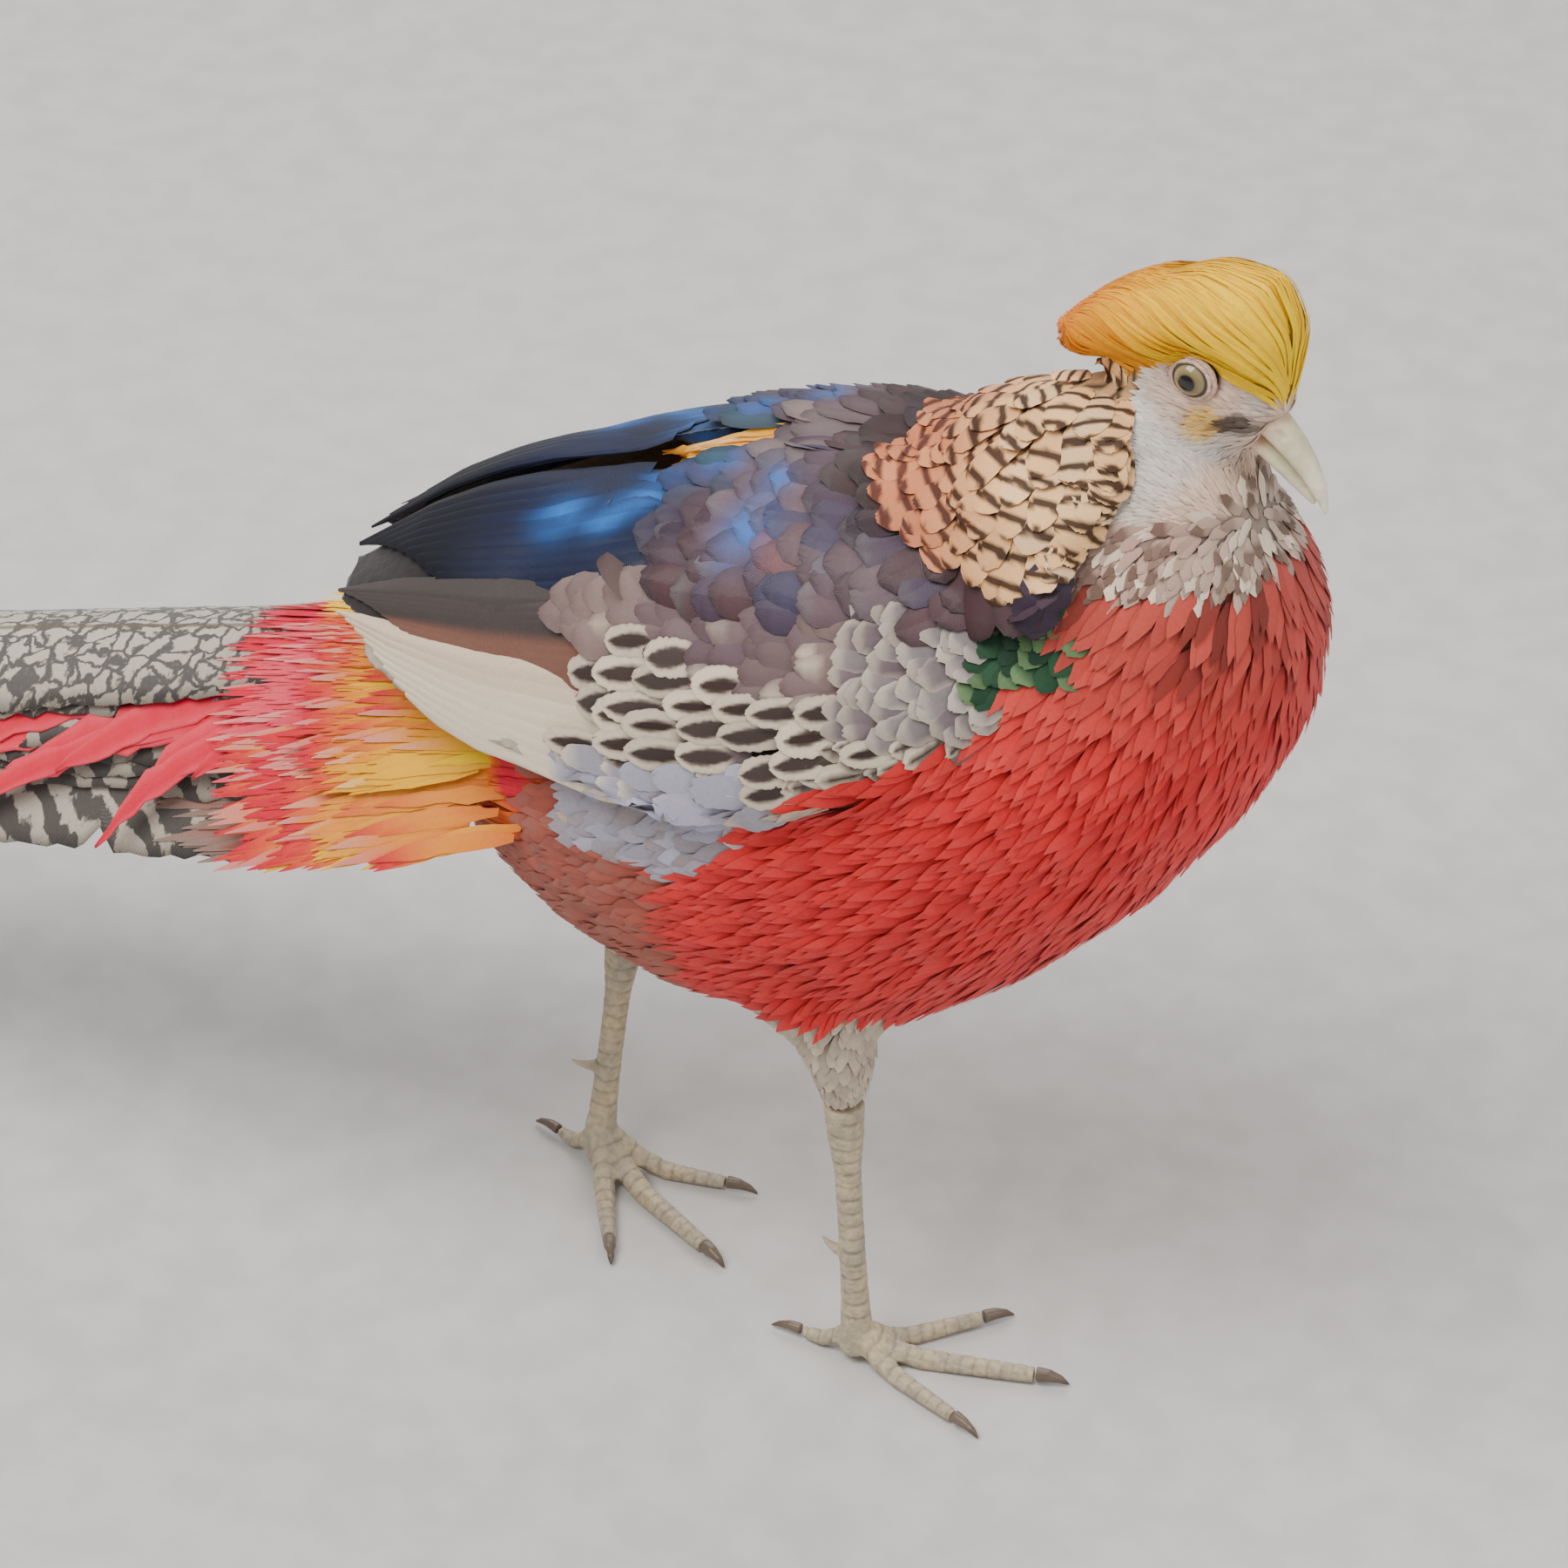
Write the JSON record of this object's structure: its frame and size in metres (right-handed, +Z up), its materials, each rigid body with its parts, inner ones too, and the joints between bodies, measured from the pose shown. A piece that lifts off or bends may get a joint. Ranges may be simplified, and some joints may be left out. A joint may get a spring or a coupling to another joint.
{
  "type": "golden pheasant model",
  "caption": "Life-size golden pheasant cock, walking with its head turned to its right and its long tail reaching the floor.",
  "frame": {"origin": "on the floor, in the middle of the bounding box", "axes": "+X from the tail to the breast, +Y to the bird's left, +Z up"},
  "size_m": [0.8976, 0.1282, 0.3225],
  "materials": {
    "breast": "soft scarlet breast and flank feathers",
    "thigh": "short buff leg feathers",
    "cape": "orange cape feathers with dark bars",
    "crest": "silky golden crest plumes",
    "face": "short grey-buff face feathers",
    "scapular": "dark purple-brown shoulder feathers with blue tints",
    "tertial": "deep blue inner wing feathers with a sheen",
    "covert": "brown wing coverts with cream bars",
    "secondary": "dark brown flight feathers",
    "primary": "buff edges of the flight feathers",
    "plume": "scarlet plumes",
    "rump": "golden rump feathers",
    "vent": "chestnut under-tail feathers",
    "tail": "buff tail feathers with dark marbling",
    "leg": "horny scales, pale buff",
    "claw": "horn, dull sheen",
    "bill": "horn, pale and slightly glossy",
    "eye": "wet, clear, pale yellow iris"
  },
  "bodies": {
    "root": {"trunk": "breast", "neck": "breast", "eye_left": "eye", "eye_right": "eye", "head": "face", "bill_upper": "bill", "bill_lower": "bill", "crest": "crest", "cape": "cape", "wing_scapulars_left": "scapular", "wing_tertials_left": "tertial", "wing_coverts_left": "covert", "wing_secondaries_left": "secondary", "wing_primaries_left": "primary", "wing_scapulars_right": "scapular", "wing_tertials_right": "tertial", "wing_coverts_right": "covert", "wing_secondaries_right": "secondary", "wing_primaries_right": "primary", "tail_centre_right": "tail", "tail_centre_left": "tail", "tail_side_1_left": "tail", "tail_side_1_right": "tail", "tail_side_2_left": "tail", "tail_side_2_right": "tail", "tail_side_3_left": "tail", "tail_side_3_right": "tail", "tail_side_4_left": "tail", "tail_side_4_right": "tail", "tail_plume_1_left": "plume", "tail_plume_1_right": "plume", "tail_plume_2_left": "plume", "tail_plume_2_right": "plume", "tail_plume_3_left": "plume", "tail_plume_3_right": "plume", "tail_covert_upper_1": "plume", "tail_covert_upper_2": "rump", "tail_covert_under": "vent", "claw_middle_left": "claw", "claw_inner_left": "claw", "claw_outer_left": "claw", "claw_hind_left": "claw", "thigh_left": "thigh", "shank_left": "leg", "foot_left": "leg", "claw_middle_right": "claw", "claw_inner_right": "claw", "claw_outer_right": "claw", "claw_hind_right": "claw", "thigh_right": "thigh", "shank_right": "leg", "foot_right": "leg"}
  },
  "joints": []
}
